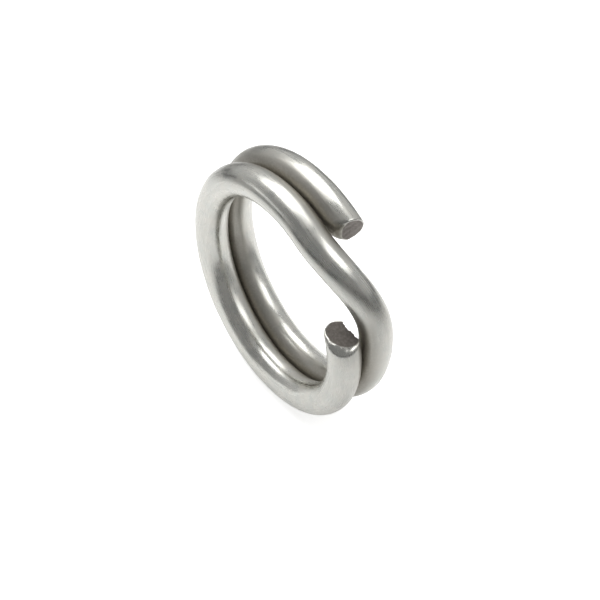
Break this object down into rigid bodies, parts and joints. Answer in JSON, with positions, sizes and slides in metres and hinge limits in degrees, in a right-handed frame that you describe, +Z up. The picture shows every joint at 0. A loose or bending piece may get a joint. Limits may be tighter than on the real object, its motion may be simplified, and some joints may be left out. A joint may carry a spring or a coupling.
{
  "type": "split key ring",
  "caption": "Split key ring of round steel wire: two side-by-side coils joined by a crossing, with two cut free ends that spring apart to admit a key.",
  "frame": {"origin": "middle of the ring: on the coils' axis, midway between the planes of the two coils", "axes": "the ring stands on edge: +Y along the coils' axis from the front coil to the rear coil, +Z up, +X to the right as seen from the front; the wire's free ends and its crossing from one coil to the other lie on the +X side, the middle of the crossing 33 degrees above +X"},
  "size_m": [0.02, 0.005, 0.0203],
  "materials": {
    "steel_wire": "tumbled satin stainless steel, drawn wire"
  },
  "bodies": {
    "middle": {"middle_turn": "steel_wire"},
    "front": {"front_leaf": "steel_wire"},
    "rear": {"rear_leaf": "steel_wire"}
  },
  "joints": [
    {"name": "front_leaf_twist", "type": "hinge", "parent": "middle", "child": "front", "pos_m": [-0.00839, -0.00128, -0.00157], "axis": [0.1736, 0, -0.9848], "range_deg": [0, 10], "stiffness_Nm_per_rad": 11.6},
    {"name": "rear_leaf_twist", "type": "hinge", "parent": "middle", "child": "rear", "pos_m": [-0.00474, 0.00128, -0.00745], "axis": [-0.8572, 0, 0.515], "range_deg": [0, 10], "stiffness_Nm_per_rad": 11.6}
  ]
}
